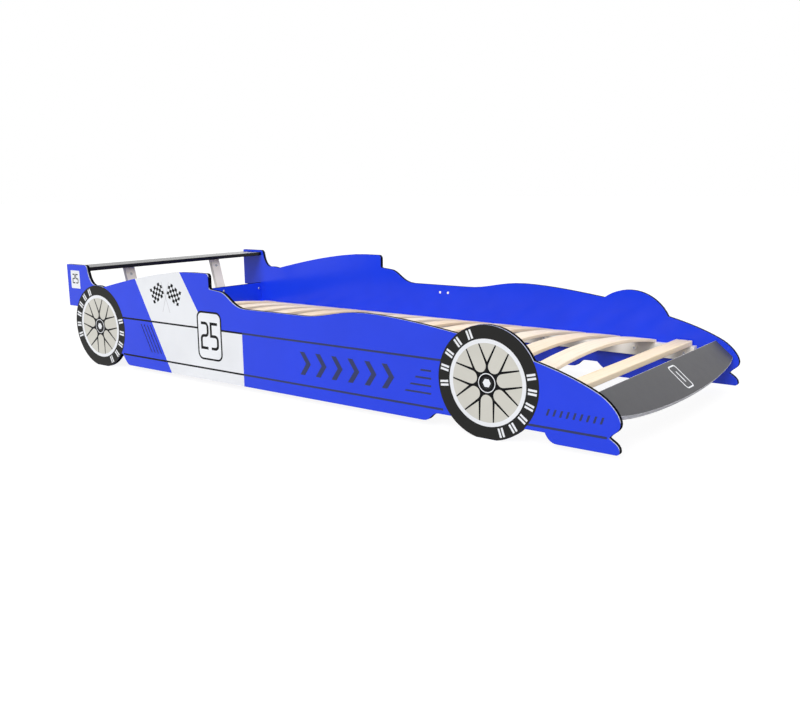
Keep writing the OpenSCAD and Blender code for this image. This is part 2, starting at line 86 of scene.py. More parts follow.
def number(name, description, default, **settings):
    return bpy.props.FloatProperty(name=name, description=description, default=default, **settings)


def length(name, description, default):
    return number(
        name, description, default * MM, min=0.0, max=3.0, subtype="DISTANCE", unit="LENGTH",
        precision=4)


def angle(name, description, default):
    return number(name, description, math.radians(default), subtype="ANGLE", unit="ROTATION")


def colour(name, description, *default):
    return bpy.props.FloatVectorProperty(
        name=name, description=description, default=shade(*default), size=3, min=0.0, max=1.0,
        subtype="COLOR")


class CarBedPrintSizes(bpy.types.PropertyGroup):
    """Places and sizes of the prints on the sides."""
    upper_line: length("Upper line", "Height of the line above the plate's middle", 199)
    lower_line: length("Lower line", "Height of the line near the floor", 60)
    line_width: length("Line width", "Width of the two long lines", 6.2)
    stripe_rear: length("Stripe rear", "Rear edge of the white stripe at the upper line", 517)
    stripe_front: length("Stripe front", "Front edge of the white stripe at the upper line", 813)
    stripe_end: length("Stripe end", "Upright front edge of the stripe below the upper line", 994)
    stripe_lean: angle("Stripe lean", "Lean of the stripe's rear edge", 28.9)
    stripe_front_lean: angle("Stripe front lean", "Lean of the stripe's front edge", 33.8)
    plate_s: length("Plate's place", "Middle of the number plate, from the rear end", 831)
    plate_z: length("Plate's middle", "Height of the number plate's middle from the floor", 175)
    plate_w: length("Plate's width", "Width of the number plate's outline", 118.5)
    plate_h: length("Plate's height", "Height of the number plate's outline", 162.5)
    digit_w: length("Digit width", "Width of a digit's middle line", 33)
    digit_h: length("Digit height", "Height of a digit's middle line", 86)
    digit_stroke: length("Digit stroke", "Width of a digit's stroke", 9.6)
    rear_wheel_s: length("Rear wheel", "Centre of the rear wheel", 194)
    front_wheel_s: length("Front wheel", "Centre of the front wheel", 1941)
    wheel_z: length("Wheel height", "Height of the wheel centres", 153.7)
    tyre_r: length("Tyre", "Radius of the printed tyre", 156.7)
    rim_r: length("Rim", "Outer radius of the white rim", 119.5)
    disc_r: length("Disc", "Radius of the grey disc inside the rim", 108)
    hub_r: length("Hub", "Radius of the black hub", 24.3)
    spokes: bpy.props.IntProperty(
        name="Spokes", description="Number of forked spokes", default=7, min=3, max=16)


class CarBedShades(bpy.types.PropertyGroup):
    """Colours of the boards, prints, wood and fittings."""
    blue: colour("Blue", "Blue of the boards", 26, 62, 228)
    edge: colour("Edge", "Black of the boards' edges", 10, 10, 14)
    # Part edge wear, part painted highlight: the lighter line along the boards' edges
    wear_and_highlight: colour("Worn edge", "Lighter line where the boards' edges rub", 96, 104, 150)
    # Painted highlight: the light line along the sides' outer top edges
    top_edge_highlight: colour("Rubbed top edge", "Light line along the sides' outer top edges", 205, 212, 236)
    nose: colour("Nose board", "Dark grey of the nose board", 66, 66, 70)
    nose_edge: colour("Nose board's edge", "Lighter grey of the nose board's edges", 192, 192, 198)
    # Painted highlight: the light line along the nose board's edges
    nose_highlight: colour("Nose board's line", "Light line along the nose board's edges", 228, 228, 236)
    wing: colour("Wing", "Black of the wing", 10, 10, 12)
    white: colour("White", "White of the struts, rails and caps", 250, 244, 234)
    rail_worn: colour("Rubbed white", "Warmer line along the edges of white pieces", 222, 214, 200)
    stripe: colour("Stripe", "White of the stripe and plates", 236, 238, 242)
    ink: colour("Ink", "Dark ink of lines and numbers", 8, 8, 12)
    soft_ink: colour("Soft ink", "Softer ink of the chevrons and of the lines on blue", 50, 58, 100)
    tyre: colour("Tyre", "Dark grey of the printed tyres", 36, 36, 35)
    disc: colour("Disc", "Warm grey of the printed discs", 208, 206, 197)
    pole: colour("Pole", "Pale grey of the flag poles", 206, 206, 210)
    slat: colour("Slats", "Pale wood of the slats", 246, 230, 208)
    wood: colour("Battens", "Wood of the bars and battens", 250, 233, 206)
    steel: colour("Steel", "Zinc plated screws", 190, 192, 196)


class CarBedStudio(bpy.types.PropertyGroup):
    """Floor, light and camera."""
    sun: number("Sun", "Strength of the soft main light", 1.95, min=0.0)
    fill: number("Fill", "Strength of the soft light from the front", 1.1, min=0.0)
    back: number("Back", "Strength of the soft light from behind", 1.0, min=0.0)
    sky: number("Sky", "Strength of the soft light from above", 0.52, min=0.0)
    horizon: number("Horizon", "Strength of the soft light from the sides", 0.52, min=0.0)
    floor: colour("Floor", "Grey of the floor as it lights the bed's underside", 155, 155, 155)
    floor_shadow: number(
        "Floor shadow", "Share of the seen floor that shows the bed's shadow", 0.22, min=0.0, max=1.0,
        subtype="FACTOR")
    lens: number("Lens", "Focal length of the camera", 39.46, subtype="DISTANCE_CAMERA")


# Nodes and finishes


def operation(kind):
    """Python operator that adds a Math node."""
    def method(self, other):
        return self.nodes.maths(kind, self, other)
    return method


class Flow:
    """What runs from a node's socket to other nodes. Python's operators work on its numbers."""

    def __init__(self, nodes, socket):
        self.nodes = nodes
        self.socket = socket

    def __abs__(self):
        return self.nodes.maths("ABSOLUTE", self)

    # A sum or product is the same either way round, so a plain number may also come first
    __add__ = __radd__ = operation("ADD")
    __mul__ = __rmul__ = operation("MULTIPLY")
    __sub__, __pow__ = operation("SUBTRACT"), operation("POWER")
    __gt__, __lt__ = operation("GREATER_THAN"), operation("LESS_THAN")


class Nodes:
    """A tree of nodes that is put together here."""

    def __init__(self, tree):
        self.tree = tree

    def node(self, kind, settings, inputs, output=0):
        """Adds a node: first its settings, then the values or links of its sockets."""
        node = self.tree.nodes.new(kind)
        for key, value in settings.items():
            setattr(node, key, value)
        for key, value in inputs.items():
            self.feed(node.inputs[key], value)
        return Flow(self, node.outputs[output])

    def feed(self, socket, value):
        if isinstance(value, Flow):
            self.tree.links.new(value.socket, socket)
        elif socket.type == "RGBA":
            socket.default_value = (*value, 1.0)
        else:
            socket.default_value = value

    def maths(self, kind, *values):
        return self.node("ShaderNodeMath", {"operation": kind}, dict(enumerate(values)))

    def ramp(self, value, low, high, start=0.0, end=1.0):
        """Value that runs from start to end as it goes from low to high."""
        return self.node("ShaderNodeMapRange", {}, {
            "Value": value, "From Min": low, "From Max": high, "To Min": start, "To Max": end})

    def parts(self, vector):
        """The three parts of a vector."""
        first = self.node("ShaderNodeSeparateXYZ", {}, {0: vector})
        return [Flow(self, output) for output in first.socket.node.outputs]

    def seen_directly(self):
        """1 for rays that see a surface from the camera, or by way of metal's or glass's gloss."""
        camera, gloss, glass = (
            self.node("ShaderNodeLightPath", {}, {}, kind)
            for kind in ("Is Camera Ray", "Is Glossy Ray", "Is Transmission Ray"))
        return self.maths("MAXIMUM", self.maths("MAXIMUM", camera, gloss), glass)


class Finish(Nodes):
    """A material that is put together around one Principled shader."""

    def __init__(self, name, **constants):
        self.material = bpy.data.materials.new(name)
        self.material.use_nodes = True
        super().__init__(self.material.node_tree)
        self.shader = self.tree.nodes["Principled BSDF"]
        self.surface(**constants)

    def surface(self, **values):
        """Feeds the shader, as in base_color=tint."""
        for key, value in values.items():
            label = key.replace("_", " ").title().replace("Ior", "IOR")
            self.feed(self.shader.inputs[label], value)

    def place(self):
        return self.node("ShaderNodeTexCoord", {}, {}, "Object")

    def facing(self):
        return self.node("ShaderNodeNewGeometry", {}, {}, "True Normal")

    def rounded(self, radius):
        """Normal of edges rounded to a radius. A wide one has no steps from facet to facet."""
        return self.node("ShaderNodeBevel", {"samples": 6}, {"Radius": radius})

    def eased(self, radius):
        """Normal of edges rounded to a radius, and how near an edge is, from 0 to 1: it is found from
        how far that normal leans from the face's own."""
        rounded = self.rounded(radius)
        match = self.node(
            "ShaderNodeVectorMath", {"operation": "DOT_PRODUCT"}, {0: rounded, 1: self.facing()},
            "Value")
        return rounded, self.ramp(match, 0.99, 0.9)

    def noise(self, scale, detail=2.0, place=None):
        """Noise in Object coordinates, or in other ones. scale is about how many grains go to the
        metre, and detail how many finer layers lie on top."""
        return self.node("ShaderNodeTexNoise", {}, {
            "Vector": self.place() if place is None else place, "Scale": scale, "Detail": detail})

    def grain(self, scales, detail=2.0):
        """Noise with a scale for each axis."""
        stretched = self.node(
            "ShaderNodeVectorMath", {"operation": "MULTIPLY"}, {0: self.place(), 1: scales})
        return self.noise(1.0, detail, stretched)

    def blend(self, mask, first, second):
        """Colour that goes from first to second as mask goes from 0 to 1."""
        return self.node("ShaderNodeMix", {"data_type": "RGBA"}, {0: mask, 6: first, 7: second}, 2)

    def mottled(self, pattern, tint, dim):
        """A tint that goes down to a share of itself where the pattern is low."""
        return self.blend(self.ramp(pattern, 0.3, 0.7), dimmed(tint, dim), tint)

    def relief(self, height, strength, distance, rounded=None):
        """Fine relief, on top of the normal of rounded edges where that is given."""
        inputs = {"Strength": strength, "Distance": distance, "Height": height}
        if rounded is not None:
            inputs["Normal"] = rounded
        self.surface(normal=self.node("ShaderNodeBump", {}, inputs, "Normal"))

    def shown(self, shader):
        return Flow(self, shader.outputs[0])

    def mixed(self, mask, under, over):
        """Shows one shader where mask is 0, and the other where it is 1."""
        both = self.node("ShaderNodeMixShader", {}, {0: mask, 1: under, 2: over})
        self.feed(self.tree.nodes["Material Output"].inputs["Surface"], both)

    def second(self, mask, **constants):
        """Puts a second shader where mask is 1. It is the one that is fed from then on."""
        first = self.shader
        self.shader = self.tree.nodes.new("ShaderNodeBsdfPrincipled")
        self.surface(**constants)
        self.mixed(mask, self.shown(first), self.shown(self.shader))


def dimmed(tint, share):
    return [share * value for value in tint]


def across_bed(finish):
    """1 where a face looks across the bed, and 0 where it lies along it."""
    return abs(finish.parts(finish.facing())[1])


def along_bed(finish):
    """1 where a face looks along the bed, and 0 where it lies across it."""
    return abs(finish.parts(finish.facing())[0])


def off_nose_slope(finish):
    """1 on the top and underside of the sloping nose board, and 0 on its edges."""
    x, _, z = finish.parts(finish.facing())
    return abs(math.sin(NOSE_SLOPE) * x + math.cos(NOSE_SLOPE) * z)


def off_panels(finish):
    """1 on what lies away from the side panels."""
    return abs(finish.parts(finish.place())[1]) < INNER_Y - 4 * MM


def outer_top_edge(finish):
    """1 where the painted highlight goes: the outer millimetres of edges that look up, on both sides.
    """
    smooth, full, gone = 9 * MM, 2.5 * MM, 4.5 * MM
    up = finish.ramp(finish.parts(finish.rounded(smooth))[2], 0.1, 0.3)
    across = abs(finish.parts(finish.place())[1])
    return up * finish.ramp(across, OUTER_Y - gone, OUTER_Y - full)


def printed(name, tint, roughness=0.26, gloss=0.3, ease=0.0, wear_and_highlight=None, wear_and_highlight_share=0.3, highlight_test=None,
            edge=None, flat_test=None, top_edge_highlight=None):
    """Lacquered board or print: a little mottled, with a fine orange peel.

    ease is the radius of its edges. There the paint takes the wear_and_highlight colour, part wear and
    part painted highlight, at most by the share wear_and_highlight_share, and where there is a
    highlight_test only where that is 1. An edge colour needs an ease: it is on the faces where
    flat_test is low, and the top_edge_highlight colour is a painted highlight line along the outer top
    edges.
    """
    finish = Finish(name, specular_ior_level=gloss)
    mottle = finish.noise(6.0, 3.0)
    cloud = finish.noise(35.0)
    peel = finish.noise(420.0, 1.0)
    painted = finish.mottled(mottle, tint, 0.93)
    rounded = None
    # Near the edges the paint lightens: part wear, part painted highlight
    if ease:
        rounded, edge_nearness = finish.eased(ease)
        if highlight_test is not None:
            edge_nearness = edge_nearness * highlight_test(finish)
        patches = finish.ramp(cloud, 0.35, 0.65, max(0.0, wear_and_highlight_share - 0.3), wear_and_highlight_share)
        painted = finish.blend(edge_nearness * patches, painted, wear_and_highlight)
    finish.surface(base_color=painted, roughness=roughness + 0.08 * cloud)
    finish.relief(peel, 0.12, 0.4 * MM, rounded)
    if edge is not None:
        saw = finish.grain((220.0, 30.0, 220.0), 3.0)
        lighter = [1.5 * value + 0.003 for value in edge]
        sawn = finish.blend(finish.ramp(saw, 0.35, 0.65), edge, lighter)
        # The edges lighten near the arris: part wear, part painted highlight
        sawn = finish.blend(edge_nearness * finish.ramp(saw, 0.3, 0.7, 0.0, 0.3), sawn, wear_and_highlight)
        # Painted highlight: a light line along the outer top edges that look up
        if top_edge_highlight is not None:
            line = outer_top_edge(finish) * finish.ramp(saw, 0.3, 0.6, 0.6, 1.0)
            sawn = finish.blend(line, sawn, top_edge_highlight)
        finish.second(flat_test(finish) < 0.7, specular_ior_level=0.0)
        finish.surface(base_color=sawn, roughness=0.24 + 0.12 * saw)
        finish.relief(saw, 0.06, 0.2 * MM, rounded)
    return finish.material


def wooden(name, tint, grain_along, bow=None):
    """Planed wood with its grain along one axis. A bowed slat shows its veneers on its long edges:
    bow is the radius of the slat's top, the height of that arc's centre and a veneer's thickness."""
    finish = Finish(name, specular_ior_level=0.35)

    def grained(across, along, detail):
        return finish.grain([along if axis == grain_along else across for axis in "XYZ"], detail)

    figure = grained(across=140.0, along=4.0, detail=4.0)
    fibre = grained(across=1400.0, along=30.0, detail=2.0)
    # Changes from slat to slat, and hardly within one
    board_tone = finish.grain((7.7, 0.2, 1.0), 0.0)
    dark = [tint[0] * 0.74, tint[1] * 0.64, tint[2] * 0.5]
    warm = [tint[0] * 0.95, tint[1] * 0.86, tint[2] * 0.74]
    wood = finish.blend(finish.ramp(board_tone, 0.35, 0.65), tint, warm)
    wood = finish.blend(finish.ramp(figure, 0.48, 0.85, 0.0, 0.6), wood, dark)
    wood = finish.blend(finish.ramp(fibre, 0.55, 0.9, 0.0, 0.35), wood, dark)
    if bow is not None:
        radius, centre_z, veneer = bow
        _, y, z = finish.parts(finish.place())
        fall = z - centre_z
        depth = (y * y + fall * fall) ** 0.5 - radius
        glue_line = finish.maths("PINGPONG", depth, veneer) < 0.16 * veneer
        on_edge = along_bed(finish) > 0.75
        wood = finish.blend(0.55 * (glue_line * on_edge), wood, dark)
    finish.surface(base_color=wood, roughness=0.5 + 0.15 * figure)
    ease = 0.8 * MM
    finish.relief(0.7 * fibre + 0.3 * figure, 0.25, 0.3 * MM, finish.rounded(ease))
    return finish.material


def plated(name, tint):
    """Zinc plated steel with fine turning marks."""
    finish = Finish(name, metallic=1.0)
    cloud = finish.noise(260.0)
    marks = finish.grain((3000.0, 600.0, 3000.0))
    finish.surface(base_color=finish.mottled(cloud, tint, 0.8), roughness=0.28 + 0.18 * marks)
    finish.relief(marks, 0.15, 0.1 * MM)
    return finish.material


def moulded(name, tint):
    """Moulded plastic with a faint grain."""
    finish = Finish(name)
    cloud = finish.noise(40.0)
    grain = finish.noise(900.0)
    finish.surface(base_color=finish.mottled(cloud, tint, 0.95), roughness=0.36 + 0.14 * grain)
    finish.relief(grain, 0.1, 0.2 * MM)
    return finish.material


# Flat outlines, plates and pieces


def arc(centre, radius, start, end, steps=8):
    """Points of an arc; angles are in degrees and count from +s towards +z."""
    s, z = centre
    turns = [math.radians(start + (end - start) * i / steps) for i in range(steps + 1)]
    return [(s + radius * math.cos(turn), z + radius * math.sin(turn)) for turn in turns]


def box_outline(middle, width, height, radius):
    """Rectangle with round corners."""
    right, top = width / 2 - radius, height / 2 - radius
    quarters = ((right, top), (-right, top), (-right, -top), (right, -top))
    return [
        point for turn, (a, b) in enumerate(quarters)
        for point in arc((middle[0] + a, middle[1] + b), radius, 90 * turn, 90 * turn + 90)]


def side_points(points, width, closed):
    """Points half a width to the left of a line, with its corners mitred."""
    out = []
    for i, point in enumerate(points):
        here = Vector(point)
        ways = []
        if i or closed:
            ways.append((here - Vector(points[i - 1])).normalized())
        if i < len(points) - 1 or closed:
            ways.append((Vector(points[(i + 1) % len(points)]) - here).normalized())
        squares = [Vector((-way.y, way.x)) for way in ways]
        middle = sum(squares, Vector((0.0, 0.0))).normalized()
        # A mitre reaches no further than a half width over 0.3
        out.append(tuple(here + middle * (width / 2 / max(0.3, middle.dot(squares[0])))))
    return out


def stroke(points, width, closed=False):
    """Outlines of a line of some width: one outline, or an outline and its hole when closed."""
    left = side_points(points, width, closed)
    right = side_points(points, -width, closed)
    return [left, right] if closed else [left + right[::-1]]


def plain_mesh(mesh, name):
    """Mesh data of a mesh that was being built."""
    data = bpy.data.meshes.new(name)
    mesh.to_mesh(data)
    mesh.free()
    return data


def joined(meshes):
    """One mesh from several."""
    whole = bmesh.new()
    for mesh in meshes:
        whole.from_mesh(mesh)
        bpy.data.meshes.remove(mesh)
    return plain_mesh(whole, "joined")


def plate_mesh(shapes, place, low, high):
    """Mesh of closed thin plates. A shape is an outline and its holes, place(point, height) puts
    a flat point where it belongs, and the plates reach from the low to the high height."""
    mesh = bmesh.new()
    for loops in shapes:
        flat = [[Vector((a, b, 0.0)) for a, b in loop] for loop in loops]
        bottom = [[mesh.verts.new(place(point, low)) for point in loop] for loop in loops]
        top = [[mesh.verts.new(place(point, high)) for point in loop] for loop in loops]
        for vertices, flip in ((bottom, True), (top, False)):
            listed = [vertex for loop in vertices for vertex in loop]
            for corners in tessellate_polygon(flat):
                picked = [listed[i] for i in (corners[::-1] if flip else corners)]
                if len(set(picked)) == 3:
                    mesh.faces.new(picked)
        for under, over in zip(bottom, top):
            for i in range(len(under)):
                mesh.faces.new((under[i - 1], under[i], over[i], over[i - 1]))
    bmesh.ops.recalc_face_normals(mesh, faces=mesh.faces)
    return plain_mesh(mesh, "plates")


def side_plates(side, shapes, layer, start_x=REAR_X):
    """Mesh of a print on one side. One that a Repeat copies to its places starts from x = 0."""
    def place(point, height):
        return Vector((start_x + point[0], SIDES[side] * (OUTER_Y + height), point[1]))
    return plate_mesh(shapes, place, -PRINT_SINK, layer * PRINT_LAYER)


def dress(material, *nodes):
    """Gives CAD nodes their finish."""
    for node in nodes:
        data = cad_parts[node].data
        data.materials.clear()
        data.materials.append(material)


def both(name):
    """Names of a pair of CAD nodes, one for each side."""
    return [name + "_" + side for side in SIDES]


def add_piece(name, data, material):
    """Makes a mesh a piece of the bed."""
    data.name = name
    data.materials.clear()
    data.materials.append(material)
    piece = bpy.data.objects.new(name, data)
    bpy.context.scene.collection.objects.link(piece)
    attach(piece, BODY)


def add_print(name, side, shapes, layer, material):
    """Makes a print on one side of the bed."""
    add_piece(name + "_" + side, side_plates(side, shapes, layer), material)


# Repeats with Geometry Nodes


class Repeat(Nodes):
    """A Geometry Nodes tree that makes copies of its object's mesh on a line of points."""

    def __init__(self, name, sizes):
        super().__init__(bpy.data.node_groups.new(name, "GeometryNodeTree"))
        face = self.tree.interface
        for way in ("INPUT", "OUTPUT"):
            face.new_socket("Geometry", in_out=way, socket_type="NodeSocketGeometry")
        self.identifiers = {
            label: face.new_socket(label, in_out="INPUT", socket_type="NodeSocket" + kind).identifier
            for label, kind in sizes.items()}
        self.start = self.tree.nodes.new("NodeGroupInput")
        self.index = self.node("GeometryNodeInputIndex", {}, {})

    def size(self, label):
        return Flow(self, self.start.outputs[label])

    def finish(self, first, step, placing):
        """Puts a copy on each point, makes the copies real and gives them their material."""
        points = self.node("GeometryNodeMeshLine", {"mode": "OFFSET"}, {
            "Count": self.size("Count"), "Start Location": first, "Offset": step})
        copies = self.node("GeometryNodeInstanceOnPoints", {}, {
            "Points": points, "Instance": self.size("Geometry"), **placing})
        real = self.node("GeometryNodeRealizeInstances", {}, {0: copies})
        shown = self.node(
            "GeometryNodeSetMaterial", {}, {"Geometry": real, "Material": self.size("Material")})
        self.feed(self.tree.nodes.new("NodeGroupOutput").inputs[0], shown)

    def run(self, pattern, **values):
        """Plain mesh that the tree makes from a pattern, which is removed."""
        holder = bpy.data.objects.new("pattern", pattern)
        bpy.context.scene.collection.objects.link(holder)
        modifier = holder.modifiers.new("Repeat", "NODES")
        modifier.node_group = self.tree
        for label, value in values.items():
            modifier[self.identifiers[label.replace("_", " ").capitalize()]] = value
        bpy.context.view_layer.update()
        graph = bpy.context.evaluated_depsgraph_get()
        result = bpy.data.meshes.new_from_object(holder.evaluated_get(graph))
        holder.modifiers.remove(modifier)
        bpy.data.objects.remove(holder)
        bpy.data.meshes.remove(pattern)
        return result


def ring_repeat():
    """Copies around a wheel: they turn about the axis across the bed, from up towards the nose."""
    ring = Repeat("Around a wheel", {
        "Count": "Int", "First angle": "Float", "Step": "Float", "Centre": "Vector",
        "Material": "Material"})
    turned = ring.index * ring.size("Step") + ring.size("First angle")
    turn = ring.node("ShaderNodeCombineXYZ", {}, {"Y": turned})
    ring.finish(ring.size("Centre"), (0.0, 0.0, 0.0), {"Rotation": turn})
    return ring


def row_repeat():
    """Copies along a straight row, each a step further, and longer by the growth than the last."""
    row = Repeat("Along a row", {
        "Count": "Int", "First": "Vector", "Step": "Vector", "Growth": "Float",
        "Material": "Material"})
    longer = row.index * row.size("Growth") + 1.0
    scale = row.node("ShaderNodeCombineXYZ", {}, {"X": longer, "Y": 1.0, "Z": 1.0})
    row.finish(row.size("First"), row.size("Step"), {"Scale": scale})
    return row


# Shapes of the prints and screw heads


def cad_copy(node):
    """Copy of a CAD node's mesh, with its loose triangles joined."""
    mesh = bmesh.new()
    mesh.from_mesh(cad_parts[node].data)
    bmesh.ops.remove_doubles(mesh, verts=mesh.verts, dist=MERGE)
    return mesh


def stripe_patch(side, cuts, layer):
    """Part of a side panel's outer face that lies on the kept side of each cut, made a thin plate."""
    mesh = cad_copy("side_panel_" + side)
    outward = SIDES[side]
    facing_out, in_plane, straight = 0.9, 0.2 * MM, 0.01

    def outer(face):
        """Whether a face looks outwards and lies in the outer face, apart from rounding errors."""
        off = abs(face.calc_center_median().y * outward - OUTER_Y)
        return face.normal.y * outward >= facing_out and off <= in_plane

    bmesh.ops.delete(mesh, geom=[face for face in mesh.faces if not outer(face)], context="FACES")
    for (s, z), (along_s, along_z) in cuts:
        bmesh.ops.bisect_plane(
            mesh, geom=mesh.verts[:] + mesh.edges[:] + mesh.faces[:], dist=0.1 * MERGE,
            plane_co=(REAR_X + s, 0.0, z), plane_no=(along_s, 0.0, along_z), clear_outer=True)
    bmesh.ops.remove_doubles(mesh, verts=mesh.verts, dist=MERGE)
    bmesh.ops.dissolve_limit(
        mesh, angle_limit=straight, verts=mesh.verts[:], edges=mesh.edges[:],
        use_dissolve_boundaries=False)
    bmesh.ops.triangulate(mesh, faces=mesh.faces[:])
    lower = mesh.verts[:]
    raised = bmesh.ops.extrude_face_region(mesh, geom=mesh.faces[:])["geom"]
    upper = [item for item in raised if isinstance(item, bmesh.types.BMVert)]
    for vertex in lower:
        vertex.co.y = outward * (OUTER_Y - PRINT_SINK)
    for vertex in upper:
        vertex.co.y = outward * (OUTER_Y + layer * PRINT_LAYER)
    bmesh.ops.recalc_face_normals(mesh, faces=mesh.faces)
    return plain_mesh(mesh, "stripe")


def number_shapes(side, middle, width, height, radius, gap, line):
    """Outlines of a plain 25, to be read from outside the bed. Each digit's middle line starts from
    its lower left corner."""
    half, right = height / 2, width - radius
    two = (
        [(0.0, height)] + arc((right, height - radius), radius, 90, 0)
        + arc((right, half + radius), radius, 0, -90)
        + arc((radius, half - radius), radius, 90, 180) + [(0.0, 0.0), (width, 0.0)])
    five = (
        [(width, height), (0.0, height), (0.0, half)]
        + arc((right, half - radius), radius, 90, 0)
        + arc((right, radius), radius, 0, -90) + [(0.0, 0.0)])
    shapes = []
    for left, digit in ((-width - gap / 2, two), (gap / 2, five)):
        points = [(middle[0] - SIDES[side] * (left + a), middle[1] - half + b) for a, b in digit]
        shapes.append(stroke(points, line))
    return shapes


def flag_cells(way, middle_s):
    """Dark squares of one waving flag, six by five, on a hoist that leans away from the middle: to
    the rear where way is 1, and to the front where it is -1."""
    columns, rows = 6, 5
    hoist, fly = -13.7 * MM, -77.7 * MM
    row_step = (3.9 * MM, -10.1 * MM)
    crest, wave = 306 * MM, 14 * MM

    def corner(u, v):
        share = u / columns
        s = hoist + (fly - hoist) * share + (v - rows / 2) * row_step[0]
        z = crest + wave * math.cos(math.pi * share) + (v - rows / 2) * row_step[1]
        return middle_s + way * s, z

    # A square is a little wider than its cell, so that the corners of squares meet
    spread = 0.03
    steps = [-spread + (1 + 2 * spread) * i / 3 for i in range(4)]
    cells = []
    for column in range(columns):
        for row in range(rows):
            if (column + row) % 2:
                edge = [corner(column + step, row - spread) for step in steps]
                edge += [corner(column + step, row + 1 + spread) for step in reversed(steps)]
                cells.append([edge])
    return cells


def spoke_outline(hub_r, count):
    """One forked spoke that points up, with its share of the web around the hub."""
    half = math.pi / count
    finger_r, finger_z = 18.5 * MM, 50.5 * MM
    finger_end = (19.8 * MM, 105.6 * MM)
    branch_tip = (24.4 * MM, 105.2 * MM)
    crotch = 58 * MM
    # Spokes reach this far into each other
    overlap = 0.05 * MM

    def turned(point):
        x, z = point
        return x * math.cos(half) + z * math.sin(half), -x * math.sin(half) + z * math.cos(half)

    web = [(overlap, 0.9 * hub_r)] + arc((overlap, finger_z), finger_r, 270, 180)
    web.append((-finger_end[0], finger_end[1]))
    right = [turned(point) for point in web] + [branch_tip]
    left = [(-x, z) for x, z in reversed(right)]
    return right + [(0.0, crotch)] + left


def heads_of(node):
    """Top of the head and axis of each screw of a CAD node, found from its points."""
    mesh = cad_copy(node)
    waiting = set(mesh.verts)
    heads = []
    for first in mesh.verts:
        if first not in waiting:
            continue
        waiting.remove(first)
        reached = [first]
        for vertex in reached:
            for edge in vertex.link_edges:
                other = edge.other_vert(vertex)
                if other in waiting:
                    waiting.remove(other)
                    reached.append(other)
        points = [vertex.co.copy() for vertex in reached]
        middle = sum(points, Vector()) / len(points)
        tip = max(points, key=lambda point: (point - middle).length)
        axis = (middle - tip).normalized()
        heads.append((tip + axis * max((point - tip).dot(axis) for point in points), axis))
    mesh.free()
    return sorted(heads, key=lambda head: tuple(round(value, 5) for value in head[0]))


def cross_mesh(centre, axis, reach):
    """Cross recess of a screw, as a dark plate of painted shade in the top of its head."""
    turn = axis.to_track_quat("Z", "Y")
    arm, depth, proud = reach * 0.24, 0.6 * MM, 0.05 * MM
    outline = []
    for way in range(4):
        c, s = math.cos(way * math.pi / 2), math.sin(way * math.pi / 2)
        for a, b in ((arm, arm), (arm, reach), (-arm, reach)):
            outline.append((a * c - b * s, a * s + b * c))

    def place(point, height):
        return centre + turn @ Vector((point[0], point[1], height))
    return plate_mesh([[outline]], place, -depth, proud)


# Operators, in the order in which they run


def chosen(context):
    """The sizes and the shades that the user has set."""
    return context.scene.car_bed_sizes, context.scene.car_bed_shades


class CARBED_OT_boards(bpy.types.Operator):
    """Paint the side panels, the rear panel, the nose board and the wing"""
    bl_idname = "car_bed.boards"
    bl_label = "Boards"

    def execute(self, context):
        shades = context.scene.car_bed_shades
        blue = {
            "tint": shades.blue, "roughness": 0.16, "gloss": 0.32, "wear_and_highlight": shades.wear_and_highlight,
            "edge": shades.edge}
        panel = printed("blue_panel", ease=2 * MM, flat_test=across_bed, top_edge_highlight=shades.top_edge_highlight, **blue)
        rear = printed("blue_rear", ease=1.2 * MM, flat_test=along_bed, **blue)
        # The nose board's light line along its edges is a painted highlight, kept off its ends at the
        # panels
        nose = printed(
            "grey_board", shades.nose, 0.4, ease=3 * MM, wear_and_highlight=shades.nose_highlight, wear_and_highlight_share=0.9,
            highlight_test=off_panels, edge=shades.nose_edge, flat_test=off_nose_slope)
        wing = printed("black_board", shades.wing, 0.2, 0.2, ease=1.5 * MM, wear_and_highlight=shades.wear_and_highlight)
        dress(panel, *both("side_panel"))
        dress(rear, "rear_panel")
        dress(nose, "nose_board")
        dress(wing, "wing_board")
        return {"FINISHED"}


class CARBED_OT_frame(bpy.types.Operator):
    """Paint the struts and rails, and give the slats, bars and battens their wood"""
    bl_idname = "car_bed.frame"
    bl_label = "Rails, struts and slats"

    def execute(self, context):
        shades = context.scene.car_bed_shades
        white = {"tint": shades.white, "ease": 1.2 * MM, "wear_and_highlight": shades.rail_worn}
        dress(printed("white_strut", roughness=0.42, **white), *both("wing_strut"))
        dress(printed("white_rail", roughness=0.46, **white), *both("slat_rail"))
        low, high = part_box("slat_01")
        rise, half, veneer = high.z - low.z, high.y, 1.7 * MM
        # The top of the slat is an arc whose ends are cut where it rests
        radius = (half * half + rise * rise) / (2 * rise)
        slat = wooden("slat_wood", shades.slat, "Y", (radius, high.z - radius, veneer))
        slats = [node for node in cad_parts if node.startswith("slat_") and node[5:].isdigit()]
        dress(slat, *slats)
        dress(wooden("bar_wood", shades.wood, "Y"), "rear_bar", "front_bar", "wing_dowels")
        dress(wooden("upright_wood", shades.wood, "Z"), "slat_pegs", *both("corner_batten"))
        dress(wooden("batten_wood", shades.wood, "X"), *both("nose_batten"))
        return {"FINISHED"}


class CARBED_OT_fittings(bpy.types.Operator):
    """Finish the screws, cams, cup washers and caps, and give the screws cross recesses of painted
    shade
    """
    bl_idname = "car_bed.fittings"
    bl_label = "Fittings"

    def execute(self, context):
        shades = context.scene.car_bed_shades
        dress(plated("zinc_steel", shades.steel), "strut_cams", "strut_pins", *CROSS_REACH)
        dress(moulded("white_plastic", shades.white), "rail_washers", "cover_caps")
        dark = printed("recess_shadow", shades.edge, 0.6, 0.1)
        for node, reach in CROSS_REACH.items():
            crosses = [cross_mesh(centre, axis, reach) for centre, axis in heads_of(node)]
            add_piece(node + "_crosses", joined(crosses), dark)
        return {"FINISHED"}


